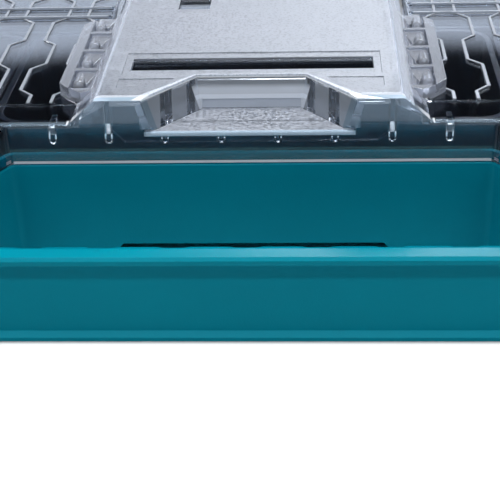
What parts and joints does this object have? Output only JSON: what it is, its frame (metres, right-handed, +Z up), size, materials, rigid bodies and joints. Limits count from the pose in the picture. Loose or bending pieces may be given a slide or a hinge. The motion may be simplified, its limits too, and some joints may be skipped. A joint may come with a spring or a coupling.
{
  "type": "tool organizer case",
  "caption": "Slim stackable organizer case: moulded tub with a handle bar across a front recess, hinged clear lid, two front latches and loose bins.",
  "frame": {"origin": "middle of the footprint, on the plane the case rests on", "axes": "+X to the right along the bar, +Y to the back where the hinges are, +Z up"},
  "size_m": [0.395, 0.295, 0.0545],
  "materials": {
    "teal_shell": "moulded, fine grain on the bar's top",
    "clear_lid": "clear polycarbonate, frosted island and wings",
    "black_plastic": "moulded, satin",
    "bin_plastic": "moulded, satin",
    "steel": "drawn pin"
  },
  "bodies": {
    "tub": {"organizer_base": "teal_shell", "latch_pin_left": "steel", "latch_pin_right": "steel", "hinge_pin_left": "steel", "hinge_pin_right": "steel", "bin_front_centre": "bin_plastic", "bin_front_left": "bin_plastic", "bin_front_right": "bin_plastic", "bin_corner_left": "bin_plastic", "bin_corner_right": "bin_plastic", "bin_back_centre": "bin_plastic", "bin_back_left": "bin_plastic", "bin_back_right": "bin_plastic", "bin_middle_1": "bin_plastic", "bin_middle_2": "bin_plastic", "bin_middle_3": "bin_plastic", "bin_middle_4": "bin_plastic", "bin_middle_5": "bin_plastic"},
    "lid": {"clear_lid": "clear_lid"},
    "latch_l": {"latch_left": "black_plastic"},
    "latch_r": {"latch_right": "black_plastic"}
  },
  "joints": [
    {"name": "lid_hinge", "type": "hinge", "parent": "tub", "child": "lid", "pos_m": [0, 0.1439, 0.0338], "axis": [-1, 0, 0], "range_deg": [0, 105]},
    {"name": "latch_left_hinge", "type": "hinge", "parent": "tub", "child": "latch_l", "pos_m": [-0.145, -0.1429, 0.0092], "axis": [1, 0, 0], "range_deg": [0, 85]},
    {"name": "latch_right_hinge", "type": "hinge", "parent": "tub", "child": "latch_r", "pos_m": [0.145, -0.1429, 0.0092], "axis": [1, 0, 0], "range_deg": [0, 85]}
  ]
}
